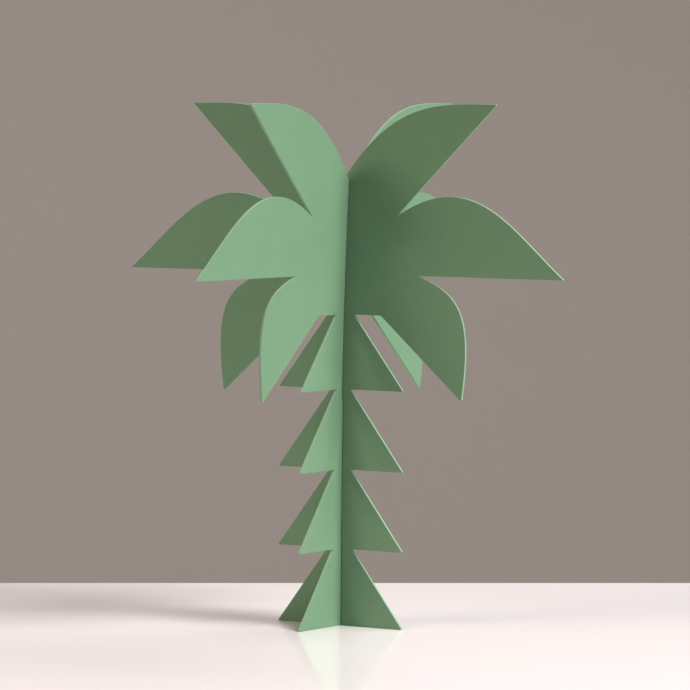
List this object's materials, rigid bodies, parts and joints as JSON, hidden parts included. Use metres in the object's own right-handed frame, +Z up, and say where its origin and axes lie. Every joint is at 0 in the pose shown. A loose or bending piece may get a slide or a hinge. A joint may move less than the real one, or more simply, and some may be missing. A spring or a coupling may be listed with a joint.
{
  "type": "paper palm tree model",
  "caption": "Model palm tree of slotted sheets of green card crossed at right angles, with flared trunk tiers and curved fronds, standing on its own feet.",
  "frame": {"origin": "on the ground, under the line where the two cards cross, at the centre of the feet", "axes": "+Z up the trunk; the left-right card lies along X and the front-back card along Y, which bows towards +X in the crown"},
  "size_m": [0.1984, 0.1984, 0.2001],
  "materials": {
    "green_card": "matte"
  },
  "bodies": {
    "root": {"trunk_left_right": "green_card", "trunk_front_back": "green_card", "frond_upper_right": "green_card", "frond_upper_left": "green_card", "frond_upper_front": "green_card", "frond_upper_back": "green_card", "frond_middle_right": "green_card", "frond_middle_left": "green_card", "frond_middle_front": "green_card", "frond_middle_back": "green_card", "frond_lower_right": "green_card", "frond_lower_left": "green_card", "frond_lower_front": "green_card", "frond_lower_back": "green_card"}
  },
  "joints": []
}
